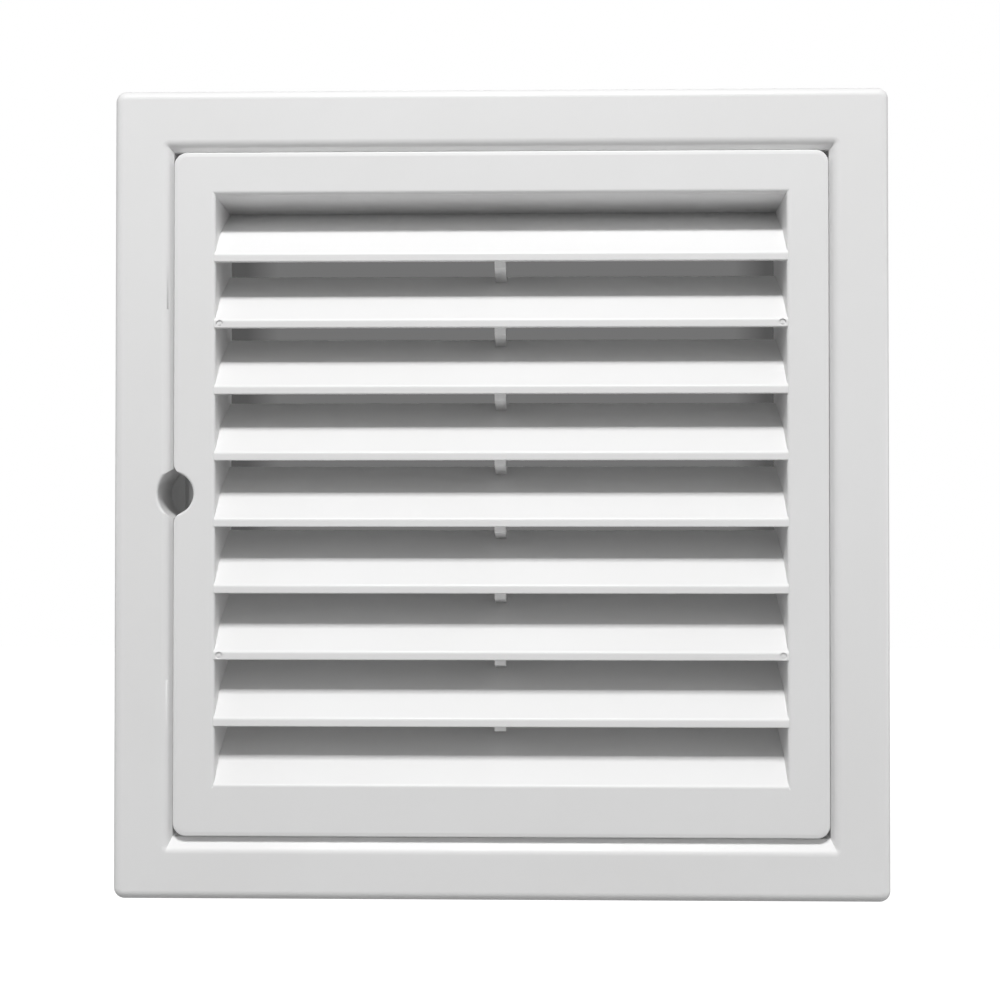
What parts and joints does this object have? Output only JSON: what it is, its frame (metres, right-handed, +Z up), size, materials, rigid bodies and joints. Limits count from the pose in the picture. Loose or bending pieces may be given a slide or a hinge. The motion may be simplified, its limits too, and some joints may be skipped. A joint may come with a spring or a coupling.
{
  "type": "louvred air grille",
  "caption": "Square white plastic louvred air grille: a flanged wall frame with a side-hinged louvre door, finger notch and magnetic catch.",
  "frame": {"origin": "centre of the frame's wall face, which is the back of the flange", "axes": "+X to the right as seen from the room, +Z up, +Y into the wall; the front looks along -Y"},
  "size_m": [0.251, 0.038, 0.2626],
  "materials": {
    "frame_plastic": "satin white ABS moulding",
    "door_plastic": "satin white ABS moulding",
    "pin_steel": "drawn steel wire",
    "magnet_plating": "nickel plating",
    "strike_steel": "zinc-plated sheet steel"
  },
  "bodies": {
    "wall_frame": {"frame": "frame_plastic", "hinge_pin_upper": "pin_steel", "hinge_pin_lower": "pin_steel", "catch_magnet": "magnet_plating"},
    "door": {"louvre_door": "door_plastic", "strike_plate": "strike_steel"}
  },
  "joints": [
    {"name": "door_hinge", "type": "hinge", "parent": "wall_frame", "child": "door", "pos_m": [0.0954, -0.004, 0], "axis": [0, 0, 1], "range_deg": [0, 130]}
  ]
}
